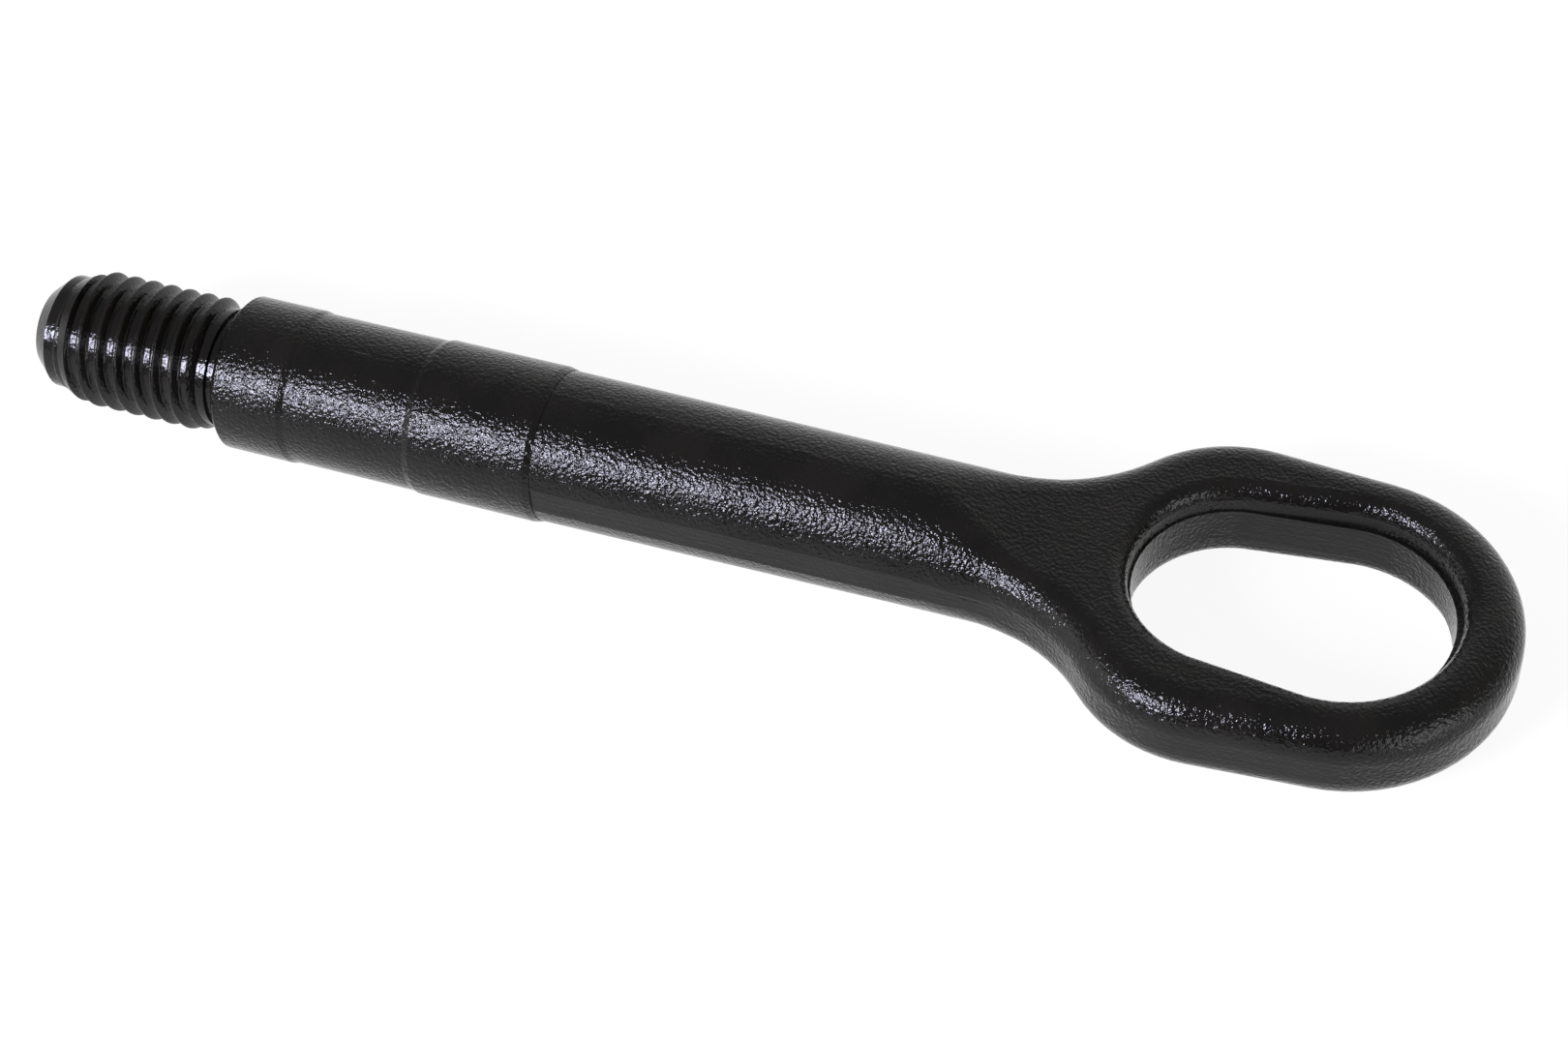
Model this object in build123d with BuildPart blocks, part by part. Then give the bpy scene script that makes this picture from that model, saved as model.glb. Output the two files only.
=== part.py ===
"""Screw-in towing lug, forged in one piece from steel bar.

The axis of the shank is X, the eye lies flat in the XY plane and the origin is
the centre of the seating shoulder. All sizes are in millimetres.
"""

import math
import os

from build123d import *

# Thread, right hand, with rounded crests; the phase is the angle of the crest where the thread starts
thread_diameter = 20.0
thread_pitch = 3.0
thread_depth = 1.5
thread_angle = 60.0
crest_radius = 0.3
thread_phase = 243.0
thread_points = 8
lead_in_slope = 0.45
run_out_slope = 1.27

# Threaded stud, measured back from the shoulder
stud_length = 30.9
tip_face_diameter = 12.4
tip_chamfer_length = 2.5
tip_band_diameter = 16.8
thread_start = 27.2
full_thread_start = 23.3
full_thread_end = 4.3
thread_end = 3.4
run_out_diameter = 17.6
undercut_width = 2.1
undercut_diameter = 16.6

# Turned collar: three bands with shallow conical steps between them
shoulder_diameter = 22.66
shoulder_edge = 0.8
shoulder_end = 11.3
waist_diameter = 22.18
waist_end = 30.9
collar_diameter = 22.72
collar_end = 50.0
step_width = 1.0

# Forged shank, with a slight taper towards the eye and trimmed flanks
forged_start_diameter = 21.96
forged_end_diameter = 21.0
forging_step = 0.1
trim_depth = 0.2
trim_height = 5.0

# Neck: the round shank flattens into the plate of the eye
neck_round_end = 106.0
neck_flare_start = 113.8
neck_flare_radius = 24.0
neck_joint = 121.0
neck_sections = 5
neck_flat = 0.05

# Eye: outline, thickness and rounded edges
eye_thickness = 13.8
eye_side_half_width = 25.1
eye_side_radius = 21.0
eye_end_x = 163.0
eye_end_radius = 24.0
eye_edge_radius = 4.9

# Hole: a punched land between two die pockets with sloping walls, wider at the far end
hole_start_x = 134.4
hole_end_x = 178.0
hole_near_radius = 14.2
hole_far_radius = 15.4
land_height = 5.8
pocket_near_ledge = 0.3
pocket_far_ledge = 0.7
pocket_draft = 6.0
pocket_edge_radius = 2.4

# Sizes that follow from the ones above
crest = thread_diameter / 2
flank_lean = math.radians(thread_angle / 2)
crest_reach = crest_radius * math.cos(flank_lean)
flank_top = crest + crest_radius * (1 / math.sin(flank_lean) - 1)
flank_reach = (flank_top - crest + thread_depth) * math.tan(flank_lean)
thread_length = thread_start - thread_end
half_thickness = eye_thickness / 2
forged_end = forged_end_diameter / 2
flare_centre_y = forged_end + neck_flare_radius
side_centre_y = eye_side_half_width - eye_side_radius
side_reach = math.sqrt((neck_flare_radius + eye_side_radius) ** 2 - (flare_centre_y - side_centre_y) ** 2)
hole_near_x = hole_start_x + hole_near_radius
hole_far_x = hole_end_x - hole_far_radius


def shank_radius(x):
    """Radius of the forged shank at a place along its taper."""
    start = forged_start_diameter / 2
    share = (x - collar_end) / (neck_flare_start - collar_end)
    return start + (forged_end - start) * share


def flank_half_width(x):
    """Half width of the neck, straight at first and then on its concave flank."""
    run = max(0.0, x - neck_flare_start)
    base = shank_radius(min(x, neck_flare_start))
    return base + neck_flare_radius - math.sqrt(neck_flare_radius**2 - run**2)


def circle_touch(a, ra, b, rb):
    """Touching points of the outer tangent on the upper side of two circles."""
    dx, dy = b[0] - a[0], b[1] - a[1]
    lean = math.atan2(dy, dx) - math.asin((ra - rb) / math.hypot(dx, dy))
    normal = (-math.sin(lean), math.cos(lean))
    first = (a[0] + ra * normal[0], a[1] + ra * normal[1])
    second = (b[0] + rb * normal[0], b[1] + rb * normal[1])
    return first, second


def forged_section(x):
    """Half width, half height and corner radius of the forging, from round bar to rounded plate."""
    share = max(0.0, x - neck_round_end) / (neck_joint - neck_round_end)
    ease = share * share * (3 - 2 * share)
    radius = shank_radius(x)
    half_height = radius + (half_thickness - radius) * ease
    corner = radius - neck_flat + (eye_edge_radius - radius) * ease
    return flank_half_width(x), half_height, corner


def thread_radius(away):
    """Radius of the thread at a distance along X from the middle of its crest."""
    nearest = min(abs(away), thread_pitch - abs(away))
    if nearest <= crest_reach:
        return crest - crest_radius + math.sqrt(crest_radius**2 - nearest**2)
    return max(flank_top - nearest / math.tan(flank_lean), crest - thread_depth)


def thread_point(away):
    """Point of the thread's cross section, which is one pitch of its profile wound once round."""
    angle = math.radians(thread_phase) + math.tau * away / thread_pitch
    return thread_radius(away) * math.cos(angle), thread_radius(away) * math.sin(angle)


def thread_curve(start, end):
    """Points of the thread's cross section between two distances from the middle of its crest."""
    step = (end - start) / thread_points
    return [thread_point(start + index * step) for index in range(thread_points + 1)]


# Core of the stud and the collar, turned about X
turned_profile = [
    (-stud_length, 0),
    (-stud_length, tip_face_diameter / 2),
    (-stud_length + tip_chamfer_length, tip_band_diameter / 2),
    (-thread_end, tip_band_diameter / 2),
    (-thread_end, run_out_diameter / 2),
    (-undercut_width, run_out_diameter / 2),
    (-undercut_width, undercut_diameter / 2),
    (0, undercut_diameter / 2),
    (0, shoulder_diameter / 2 - shoulder_edge),
    (shoulder_edge, shoulder_diameter / 2),
    (shoulder_end - step_width / 2, shoulder_diameter / 2),
    (shoulder_end + step_width / 2, waist_diameter / 2),
    (waist_end - step_width / 2, waist_diameter / 2),
    (waist_end + step_width / 2, collar_diameter / 2),
    (collar_end - step_width, collar_diameter / 2),
    (collar_end, forged_start_diameter / 2 + forging_step),
    (collar_end, 0),
]

# Envelope of the thread: lead-in and run-out cones that meet the crests at their full height
thread_profile = [
    (-full_thread_start - crest / 2, 0),
    (-full_thread_start - crest / 2, crest - lead_in_slope * crest / 2),
    (-full_thread_start + crest_radius, crest + lead_in_slope * crest_radius),
    (-full_thread_end - crest_radius, crest + run_out_slope * crest_radius),
    (-full_thread_end + crest / 4, crest - run_out_slope * crest / 4),
    (-full_thread_end + crest / 4, 0),
]

# Thread: its cross section drawn along X with a turn for each pitch, inside the envelope
with BuildSketch(Plane.YZ.offset(-thread_start)) as thread_section:
    with BuildLine():
        Spline(*thread_curve(-crest_reach, crest_reach))
        Spline(*thread_curve(crest_reach, flank_reach))
        Spline(*thread_curve(flank_reach, thread_pitch - flank_reach))
        Spline(*thread_curve(thread_pitch - flank_reach, thread_pitch - crest_reach))
    make_face()
with BuildPart() as thread:
    with BuildSketch(Plane.XY):
        with BuildLine():
            Polyline(*thread_profile, close=True)
        make_face()
    revolve(axis=Axis.X)
    twisted_rod = Solid.extrude_linear_with_rotation(
        thread_section.sketch.face(),
        center=(-thread_start, 0, 0),
        normal=(thread_length, 0, 0),
        angle=360 * thread_length / thread_pitch,
    )
    add(twisted_rod, mode=Mode.INTERSECT)

# Outline of one half of the eye's plate: flank, side, a straight run and the far end
flare_centre = (neck_flare_start, flare_centre_y)
side_centre = (neck_flare_start + side_reach, side_centre_y)
side_touch, end_touch = circle_touch(side_centre, eye_side_radius, (eye_end_x, 0), eye_end_radius)
flare_share = neck_flare_radius / (neck_flare_radius + eye_side_radius)
flare_touch = tuple(f + (s - f) * flare_share for f, s in zip(flare_centre, side_centre))
with BuildPart() as plate:
    with BuildSketch(Plane.XY):
        with BuildLine():
            Line((neck_flare_start, 0), (neck_flare_start, forged_end))
            RadiusArc((neck_flare_start, forged_end), flare_touch, -neck_flare_radius)
            RadiusArc(flare_touch, side_touch, eye_side_radius)
            Line(side_touch, end_touch)
            RadiusArc(end_touch, (eye_end_x + eye_end_radius, 0), eye_end_radius)
            mirror(about=Plane.XZ)
        make_face()
    extrude(amount=half_thickness, both=True)
    rims = plate.edges().filter_by(Axis.Z, reverse=True).filter_by(lambda edge: abs(edge.center().Z) > 1)
    fillet(rims - rims.filter_by(Axis.Y), radius=eye_edge_radius)
    split(bisect_by=Plane.YZ.offset(neck_joint), keep=Keep.TOP)

# Forged shank: a round bar with a slight taper
with BuildPart() as shank:
    for x in (collar_end, neck_round_end):
        half_width, half_height, corner = forged_section(x)
        with BuildSketch(Plane.YZ.offset(x)):
            RectangleRounded(2 * half_width, 2 * half_height, corner)
    loft(ruled=True)

# Neck: sections from the end of the round shank to the face where the plate starts
joint_face = plate.faces().sort_by(Axis.X)[0]
with BuildPart() as neck:
    for index in range(neck_sections):
        x = neck_round_end + (neck_joint - neck_round_end) * index / neck_sections
        half_width, half_height, corner = forged_section(x)
        with BuildSketch(Plane.YZ.offset(x)):
            RectangleRounded(2 * half_width, 2 * half_height, corner)
    loft(sections=[*neck.pending_faces, joint_face])

# The whole lug
with BuildPart() as lug:
    with BuildSketch(Plane.XY):
        with BuildLine():
            Polyline(*turned_profile, close=True)
        make_face()
    revolve(axis=Axis.X)
    add(thread.part)
    add(shank.part)
    add(neck.part)
    with BuildSketch(Plane.XY):
        with BuildLine():
            Polyline(
                (collar_end, shank_radius(collar_end) - trim_depth),
                (neck_round_end, shank_radius(neck_round_end) - trim_depth),
                (neck_flare_start, forged_end),
                (neck_flare_start, collar_diameter),
                (collar_end, collar_diameter),
                close=True,
            )
        make_face()
        mirror(about=Plane.XZ)
    extrude(amount=trim_height, both=True, mode=Mode.SUBTRACT)
    add(plate.part)
    for sign in (1, -1):
        pocket_floor = Plane(origin=(0, 0, sign * land_height / 2), x_dir=(1, 0, 0), z_dir=(0, 0, sign))
        with BuildSketch(pocket_floor):
            with Locations((hole_near_x, 0)):
                Circle(hole_near_radius + pocket_near_ledge)
            with Locations((hole_far_x, 0)):
                Circle(hole_far_radius + pocket_far_ledge)
            make_hull()
        extrude(amount=half_thickness - land_height / 2, taper=-pocket_draft, mode=Mode.SUBTRACT)
    flats = lug.faces().filter_by(Plane.XY).group_by(lambda face: round(abs(face.center().Z), 3))[-1]
    pocket_rims = [edge for flat in flats for wire in flat.inner_wires() for edge in wire.edges()]
    fillet(pocket_rims, radius=pocket_edge_radius)
    with BuildSketch(Plane.XY):
        with Locations((hole_near_x, 0)):
            Circle(hole_near_radius)
        with Locations((hole_far_x, 0)):
            Circle(hole_far_radius)
        make_hull()
    extrude(amount=half_thickness, both=True, mode=Mode.SUBTRACT)

os.makedirs("parts", exist_ok=True)
lug.part.label = "towing_lug"
export_step(lug.part, "parts/towing_lug.step")
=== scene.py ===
"""A forged screw-in towing lug, black coated, lying on a white table under studio light.

The lug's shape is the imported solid. This script gives it its coat, lays it on the table, lights it
and sets the camera. Sizes are in millimetres where a name ends in _mm, and in metres elsewhere.
"""

import logging
import math
from dataclasses import dataclass, field
from enum import Enum

import bpy
from mathutils import Matrix, Vector


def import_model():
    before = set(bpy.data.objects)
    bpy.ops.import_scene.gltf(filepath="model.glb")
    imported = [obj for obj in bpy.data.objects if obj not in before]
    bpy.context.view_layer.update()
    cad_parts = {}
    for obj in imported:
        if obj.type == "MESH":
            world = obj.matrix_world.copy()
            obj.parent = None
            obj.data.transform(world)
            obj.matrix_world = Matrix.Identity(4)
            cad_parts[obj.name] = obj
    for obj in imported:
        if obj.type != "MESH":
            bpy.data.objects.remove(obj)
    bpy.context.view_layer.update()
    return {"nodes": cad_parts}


LOG = logging.getLogger("towing_lug")
MM = 0.001
Colour = tuple[float, float, float, float]
Triple = tuple[float, float, float]
Span = tuple[float, float]
Socket = bpy.types.NodeSocket


class Zone(Enum):
    """Stretches of the lug behind its stud: each value is where the stretch starts, in millimetres."""

    COLLAR = 0.0
    FORGED = 50.0


@dataclass(frozen=True)
class Grain:
    """A noise pattern: features per metre, number of finer octaves, and their weight."""

    scale: float
    detail: float
    weight: float


@dataclass(frozen=True)
class Mark:
    """A scratch or nick in the coat: its middle, half sizes and depth, all in millimetres."""

    middle_mm: Triple
    half_mm: Triple
    depth_mm: float


@dataclass(frozen=True)
class Panel:
    """A pale or dark stretch of the room's wall.

    The level is added to the room's own light in full where the wall lies along facing, and fades
    out between the two cosines.
    """

    facing: Triple
    edge: float
    full: float
    level: float


class NodeBench:
    """A node tree with short calls to add nodes and join their sockets."""

    COLOUR_A = 6
    COLOUR_B = 7
    COLOUR_RESULT = 2

    def __init__(self, tree: bpy.types.NodeTree) -> None:
        """Takes over a tree and empties it.

        Args:
            tree: The node tree of a material or a world.
        """
        self.tree = tree
        self.tree.nodes.clear()

    def add(self, kind: str, settings: dict[str, object] | None = None, **sockets: object) -> bpy.types.Node:
        """Adds a node.

        Args:
            kind: The node's type, such as ShaderNodeBump.
            settings: Properties of the node itself.
            sockets: Values or output sockets for its inputs, by input name with _ for a space.

        Returns:
            The new node.
        """
        node = self.tree.nodes.new(kind)
        for name, value in (settings or {}).items():
            setattr(node, name, value)
        for name, value in sockets.items():
            self.feed(node.inputs[name.replace("_", " ")], value)
        return node

    def feed(self, socket: Socket, value: object) -> None:
        """Links an output to an input, or sets the input's own value.

        Args:
            socket: The input.
            value: An output socket, or a plain value.
        """
        if isinstance(value, Socket):
            self.tree.links.new(value, socket)
        else:
            socket.default_value = value

    def math(self, operation: str, *values: object) -> Socket:
        """Adds a math node.

        Args:
            operation: Blender's name of the operation.
            values: Numbers or sockets, in order.

        Returns:
            The result's socket.
        """
        node = self.add("ShaderNodeMath", {"operation": operation})
        for socket, value in zip(node.inputs, values):
            self.feed(socket, value)
        return node.outputs["Value"]

    def vector(self, operation: str, result: str, *values: object) -> Socket:
        """Adds a vector math node.

        Args:
            operation: Blender's name of the operation.
            result: Name of the output, Vector or Value.
            values: Vectors or sockets, in order.

        Returns:
            The result's socket.
        """
        node = self.add("ShaderNodeVectorMath", {"operation": operation})
        for socket, value in zip(node.inputs, values):
            self.feed(socket, value)
        return node.outputs[result]

    def ramp(self, value: Socket, change: Span, result: Span = (0.0, 1.0)) -> Socket:
        """Maps a value smoothly from one range to another.

        Args:
            value: The socket to map.
            change: Where the change begins and ends.
            result: Result before and after the change.

        Returns:
            The result's socket.
        """
        node = self.add("ShaderNodeMapRange", {"interpolation_type": "SMOOTHSTEP"}, Value=value)
        for name, number in zip(("From Min", "From Max", "To Min", "To Max"), (*change, *result)):
            node.inputs[name].default_value = number
        return node.outputs["Result"]

    def noise(self, vector: Socket, grain: Grain) -> Socket:
        """Adds a noise texture.

        Args:
            vector: The coordinates' socket.
            grain: The pattern.

        Returns:
            The noise's value, about 0.5 on average.
        """
        node = self.add(
            "ShaderNodeTexNoise",
            Vector=vector,
            Scale=grain.scale,
            Detail=grain.detail,
            Roughness=grain.weight,
        )
        return node.outputs[0]

    def blend(self, share: Socket, first: Colour, second: Colour) -> Socket:
        """Mixes two colours.

        Args:
            share: Share of the second colour.
            first: The first colour.
            second: The second colour.

        Returns:
            The mixed colour's socket.
        """
        node = self.add("ShaderNodeMix", {"data_type": "RGBA"}, Factor=share)
        node.inputs[self.COLOUR_A].default_value = first
        node.inputs[self.COLOUR_B].default_value = second
        return node.outputs[self.COLOUR_RESULT]


@dataclass(frozen=True)
class CoatMap:
    """Where the coat lies: its coordinates, and masks for the lug's stretches."""

    place: Socket
    after_stud: Socket
    forged: Socket
    flank: Socket


@dataclass(frozen=True)
class BlackCoat:
    """Glossy black dip coat over machined and forged steel."""

    dark: Colour = (0.0042, 0.0037, 0.0032, 1.0)
    light: Colour = (0.0070, 0.0062, 0.0053, 1.0)
    cloud: Grain = Grain(90.0, 4.0, 0.6)
    cloud_edge: Span = (0.35, 0.65)
    ior: float = 1.5
    mirror_level: float = 0.25
    collar_roughness: float = 0.055
    forged_roughness: float = 0.06
    stud_roughness: float = 0.11
    flank_roughness: float = 0.30
    gloss_patch: Grain = Grain(160.0, 3.0, 0.6)
    gloss_drift: float = 0.04
    peel: Grain = Grain(1900.0, 2.0, 0.45)
    peel_height_mm: float = 0.190
    stud_peel_share: float = 0.35
    flank_peel_share: float = 0.35
    skin: Grain = Grain(420.0, 3.0, 0.5)
    skin_height_mm: float = 0.060
    pit_scale: float = 330.0
    pit_edge: Span = (0.05, 0.16)
    pit_depth_mm: float = 0.05
    streak_stretch: Triple = (60.0, 900.0, 2600.0)
    streak: Grain = Grain(1.0, 2.0, 0.5)
    streak_height_mm: float = 0.050
    stud_seam_mm: Span = (-0.3, 0.0)
    forged_seam_mm: Span = (-0.2, 0.4)
    flank_facing: Span = (0.955, 0.99)
    waist_scratch: Mark = Mark((21.1, -0.64, 11.07), (2.1, 0.28, 0.60), 0.07)
    neck_nick: Mark = Mark((114.5, -10.5, 1.05), (1.8, 0.80, 0.42), 0.14)
    mark_edge: Span = (0.3, 1.0)

    def build(self, name: str) -> bpy.types.Material:
        """Makes the coat's material.

        Args:
            name: The material's name.

        Returns:
            The material.
        """
        material = bpy.data.materials.new(name)
        material.use_nodes = True
        bench = NodeBench(material.node_tree)
        coat = self._map(bench)
        bump = bench.add("ShaderNodeBump", Strength=1.0, Distance=MM, Height=self._height(bench, coat))
        shader = bench.add(
            "ShaderNodeBsdfPrincipled",
            Base_Color=self._tint(bench, coat),
            Roughness=self._gloss(bench, coat),
            IOR=self.ior,
            Specular_IOR_Level=self.mirror_level,
            Normal=bump.outputs["Normal"],
        )
        bench.add("ShaderNodeOutputMaterial", Surface=shader.outputs["BSDF"])
        return material

    def _map(self, bench: NodeBench) -> CoatMap:
        """Finds the stretches of the lug from its own coordinates and normals.

        Args:
            bench: The material's node tree.

        Returns:
            Coordinates and masks.
        """
        place = bench.add("ShaderNodeTexCoord").outputs["Object"]
        along = bench.add("ShaderNodeSeparateXYZ", Vector=place).outputs["X"]
        normal = bench.add("ShaderNodeNewGeometry").outputs["Normal"]
        sideways = bench.math("ABSOLUTE", bench.add("ShaderNodeSeparateXYZ", Vector=normal).outputs["Y"])
        after_stud = bench.ramp(along, self._seam(Zone.COLLAR, self.stud_seam_mm))
        forged = bench.ramp(along, self._seam(Zone.FORGED, self.forged_seam_mm))
        flank = bench.math("MULTIPLY", forged, bench.ramp(sideways, self.flank_facing))
        return CoatMap(place, after_stud, forged, flank)

    def _seam(self, zone: Zone, reach_mm: Span) -> Span:
        """Start and end, in metres, of the change at a stretch's start."""
        return (zone.value + reach_mm[0]) * MM, (zone.value + reach_mm[1]) * MM

    def _height(self, bench: NodeBench, coat: CoatMap) -> Socket:
        """Height of the peel grain, the forged skin, the trimming streaks and the marks.

        Args:
            bench: The material's node tree.
            coat: Coordinates and masks.

        Returns:
            The height's socket, in millimetres.
        """
        share = bench.math("MULTIPLY_ADD", coat.after_stud, 1.0 - self.stud_peel_share, self.stud_peel_share)
        calm = bench.math("MULTIPLY_ADD", coat.flank, self.flank_peel_share - 1.0, 1.0)
        peel = bench.math("MULTIPLY", bench.noise(coat.place, self.peel), self.peel_height_mm)
        peel = bench.math("MULTIPLY", peel, bench.math("MULTIPLY", share, calm))
        skin = bench.math("MULTIPLY", bench.noise(coat.place, self.skin), self.skin_height_mm)
        cells = bench.add("ShaderNodeTexVoronoi", {"feature": "F1"}, Vector=coat.place, Scale=self.pit_scale)
        pits = bench.ramp(cells.outputs["Distance"], self.pit_edge, (-self.pit_depth_mm, 0.0))
        skin_share = bench.math("MULTIPLY", coat.forged, calm)
        skin = bench.math("MULTIPLY", bench.math("ADD", skin, pits), skin_share)
        drawn = bench.add("ShaderNodeMapping", Vector=coat.place, Scale=self.streak_stretch).outputs["Vector"]
        streaks = bench.math("MULTIPLY", bench.noise(drawn, self.streak), self.streak_height_mm)
        streaks = bench.math("MULTIPLY", streaks, coat.flank)
        height = bench.math("ADD", peel, bench.math("ADD", skin, streaks))
        for mark in (self.waist_scratch, self.neck_nick):
            height = bench.math("ADD", height, self._dent(bench, coat, mark))
        return height

    def _dent(self, bench: NodeBench, coat: CoatMap, mark: Mark) -> Socket:
        """Depth of one mark, below zero inside it.

        Args:
            bench: The material's node tree.
            coat: Coordinates and masks.
            mark: The scratch or nick.

        Returns:
            The depth's socket, in millimetres.
        """
        shift = bench.vector("SUBTRACT", "Vector", coat.place, Vector(mark.middle_mm) * MM)
        scaled = bench.vector("DIVIDE", "Vector", shift, Vector(mark.half_mm) * MM)
        away = bench.vector("LENGTH", "Value", scaled)
        return bench.ramp(away, self.mark_edge, (-mark.depth_mm, 0.0))

    def _tint(self, bench: NodeBench, coat: CoatMap) -> Socket:
        """Colour of the coat, slightly uneven.

        Args:
            bench: The material's node tree.
            coat: Coordinates and masks.

        Returns:
            The colour's socket.
        """
        share = bench.ramp(bench.noise(coat.place, self.cloud), self.cloud_edge)
        return bench.blend(share, self.dark, self.light)

    def _gloss(self, bench: NodeBench, coat: CoatMap) -> Socket:
        """Roughness of the coat over the stud, the collar, the forged skin and the flanks.

        Args:
            bench: The material's node tree.
            coat: Coordinates and masks.

        Returns:
            The roughness socket.
        """
        rough: Socket | float = self.stud_roughness
        for mask, before, after in (
            (coat.after_stud, self.stud_roughness, self.collar_roughness),
            (coat.forged, self.collar_roughness, self.forged_roughness),
            (coat.flank, self.forged_roughness, self.flank_roughness),
        ):
            rough = bench.math("MULTIPLY_ADD", mask, after - before, rough)
        patch = bench.noise(coat.place, self.gloss_patch)
        patch = bench.math("MULTIPLY_ADD", patch, self.gloss_drift, -self.gloss_drift / 2)
        return bench.math("ADD", rough, patch)


@dataclass
class TowingLug:
    """The lug itself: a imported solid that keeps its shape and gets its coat."""

    node: str = "towing_lug"
    slot: str = "black_coat"
    coat: BlackCoat = field(default_factory=BlackCoat)
    collar_radius_mm: float = 11.36
    collar_end_mm: float = 49.0
    shank_radius_mm: float = 10.56
    shank_end_mm: float = 106.0

    def dress(self, nodes: dict[str, bpy.types.Object]) -> bpy.types.Object:
        """Puts the coat on the solid.

        Args:
            nodes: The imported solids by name.

        Returns:
            The dressed object.
        """
        lug = nodes[self.node]
        material = self.coat.build("black_dip_coat")
        for slot in lug.material_slots:
            slot.material = material
        return lug

    def table_tilt(self) -> float:
        """Angle of the table under the lug, which lies on its collar and the end of its round shank."""
        rise = self.collar_radius_mm - self.shank_radius_mm
        return math.atan2(rise, self.shank_end_mm - self.collar_end_mm)

    def foot(self) -> Vector:
        """Point of the collar that the table touches."""
        return Vector((self.collar_end_mm, 0.0, -self.collar_radius_mm)) * MM


@dataclass
class WhiteTable:
    """White table top that the lug lies on, with a soft shadow."""

    side: float = 6.0
    paint: Colour = (0.86, 0.86, 0.86, 1.0)
    glow: float = 1.06
    glow_share: float = 0.86

    def build(self, foot: Vector, tilt: float) -> bpy.types.Object:
        """Makes the table top.

        Args:
            foot: A point on the table under the lug.
            tilt: Rise of the table along the lug, in radians.

        Returns:
            The table's object.
        """
        bpy.ops.object.select_all(action="DESELECT")
        bpy.ops.mesh.primitive_plane_add(size=self.side, location=foot, rotation=(0.0, -tilt, 0.0))
        table = bpy.context.object
        table.name = "white_table"
        table.data.materials.append(self._paint())
        return table

    def _paint(self) -> bpy.types.Material:
        """Makes paint that is white to the camera and in reflections, and still takes a shadow.

        Returns:
            The material.
        """
        material = bpy.data.materials.new("white_table_paint")
        material.use_nodes = True
        bench = NodeBench(material.node_tree)
        rays = bench.add("ShaderNodeLightPath").outputs
        seen = bench.math("MAXIMUM", rays["Is Camera Ray"], rays["Is Glossy Ray"])
        seen = bench.math("MAXIMUM", seen, rays["Is Transmission Ray"])
        matt = bench.add("ShaderNodeBsdfDiffuse", Color=self.paint).outputs["BSDF"]
        glow = bench.add("ShaderNodeEmission", Strength=self.glow).outputs["Emission"]
        mix = bench.add("ShaderNodeMixShader")
        for socket, value in zip(mix.inputs, (bench.math("MULTIPLY", seen, self.glow_share), matt, glow)):
            bench.feed(socket, value)
        bench.add("ShaderNodeOutputMaterial", Surface=mix.outputs["Shader"])
        return material


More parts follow.
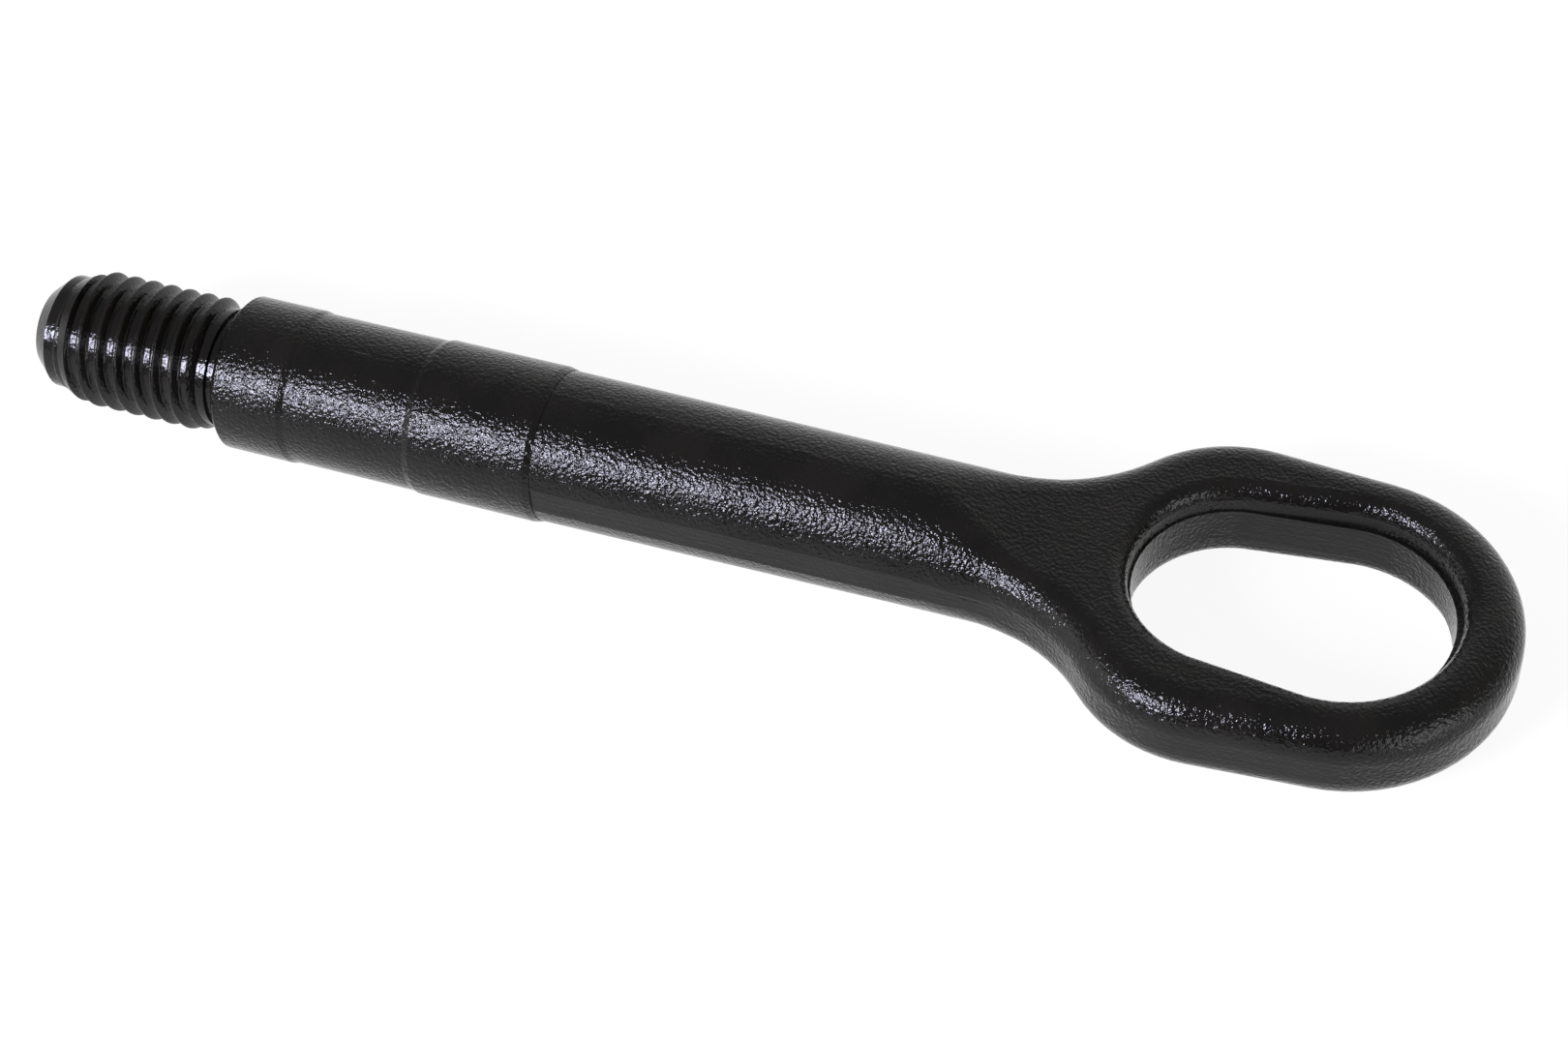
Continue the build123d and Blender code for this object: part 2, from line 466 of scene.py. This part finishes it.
@dataclass
class Studio:
    """Room light: one soft box in front of the lug, and walls with pale panels round it."""

    aim: Triple = (0.08, 0.0, 0.0)
    box_place: Triple = (-0.42, -0.90, 0.62)
    box_width: float = 0.34
    box_height: float = 0.38
    box_power: float = 23.0
    box_tint: Triple = (0.82, 0.82, 1.0)
    room: float = 0.38
    back_panel: Panel = Panel((0.09, 0.99, 0.10), 0.50, 1.0, 0.9)
    left_panel: Panel = Panel((-0.90, -0.42, 0.05), 0.78, 0.99, 1.9)
    right_panel: Panel = Panel((0.87, -0.46, 0.15), 0.86, 0.98, 5.0)
    front_shade: Panel = Panel((0.35, -0.93, 0.10), 0.60, 0.98, -0.27)

    def build(self) -> bpy.types.Object:
        """Paints the room and hangs the soft box, which it returns."""
        self._room()
        return self._soft_box()

    def _soft_box(self) -> bpy.types.Object:
        """Adds the soft box, turned to the lug.

        Returns:
            The soft box's object.
        """
        lamp = bpy.data.lights.new("soft_box", "AREA")
        lamp.shape = "RECTANGLE"
        lamp.size = self.box_width
        lamp.size_y = self.box_height
        lamp.energy = self.box_power
        lamp.color = self.box_tint
        holder = bpy.data.objects.new("soft_box", lamp)
        bpy.context.collection.objects.link(holder)
        holder.location = self.box_place
        reach = Vector(self.aim) - Vector(self.box_place)
        holder.rotation_euler = reach.to_track_quat("-Z", "Y").to_euler()
        return holder

    def _room(self) -> None:
        """Makes the room: white to the camera, and panelled for the lug."""
        world = bpy.data.worlds.new("studio_room")
        world.use_nodes = True
        bpy.context.scene.world = world
        bench = NodeBench(world.node_tree)
        view = bench.add("ShaderNodeTexCoord").outputs["Generated"]
        level: Socket | float = self.room
        for panel in (self.back_panel, self.left_panel, self.right_panel, self.front_shade):
            turned = bench.vector("DOT_PRODUCT", "Value", view, panel.facing)
            share = bench.ramp(turned, (panel.edge, panel.full), (0.0, panel.level))
            level = bench.math("ADD", share, level)
        seen = bench.add("ShaderNodeLightPath").outputs["Is Camera Ray"]
        keep = bench.math("SUBTRACT", 1.0, seen)
        level = bench.math("ADD", bench.math("MULTIPLY", level, keep), seen)
        paint = bench.add("ShaderNodeBackground", Strength=level)
        bench.add("ShaderNodeOutputWorld", Surface=paint.outputs["Background"])


@dataclass(frozen=True)
class PhotoCamera:
    """The camera, placed as the photograph shows the lug."""

    lens_mm: float = 75.03
    sensor_mm: float = 36.0
    nearest: float = 0.01
    place_mm: Triple = (202.15, -277.53, 342.51)
    right: Triple = (0.94000, 0.33734, -0.05099)
    up: Triple = (-0.22403, 0.72304, 0.65347)

    def build(self) -> bpy.types.Object:
        """Makes the camera and gives it to the scene.

        Returns:
            The camera's object.
        """
        data = bpy.data.cameras.new("photo_camera")
        data.sensor_fit = "HORIZONTAL"
        data.sensor_width = self.sensor_mm
        data.lens = self.lens_mm
        data.clip_start = self.nearest
        camera = bpy.data.objects.new("photo_camera", data)
        bpy.context.collection.objects.link(camera)
        right = Vector(self.right).normalized()
        back = right.cross(Vector(self.up)).normalized()
        turn = Matrix((right, back.cross(right), back)).transposed()
        camera.matrix_world = Matrix.Translation(Vector(self.place_mm) * MM) @ turn.to_4x4()
        bpy.context.scene.camera = camera
        return camera


def main() -> None:
    """Loads the lug, dresses it and sets the scene round it."""
    logging.basicConfig(level=logging.INFO)
    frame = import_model()
    bpy.context.scene.view_settings.view_transform = "Standard"
    lug = TowingLug()
    LOG.info("coated %s", lug.dress(frame["nodes"]).name)
    LOG.info("laid %s", WhiteTable().build(lug.foot(), lug.table_tilt()).name)
    LOG.info("hung %s", Studio().build().name)
    LOG.info("placed %s", PhotoCamera().build().name)


if __name__ == "__main__":
    main()
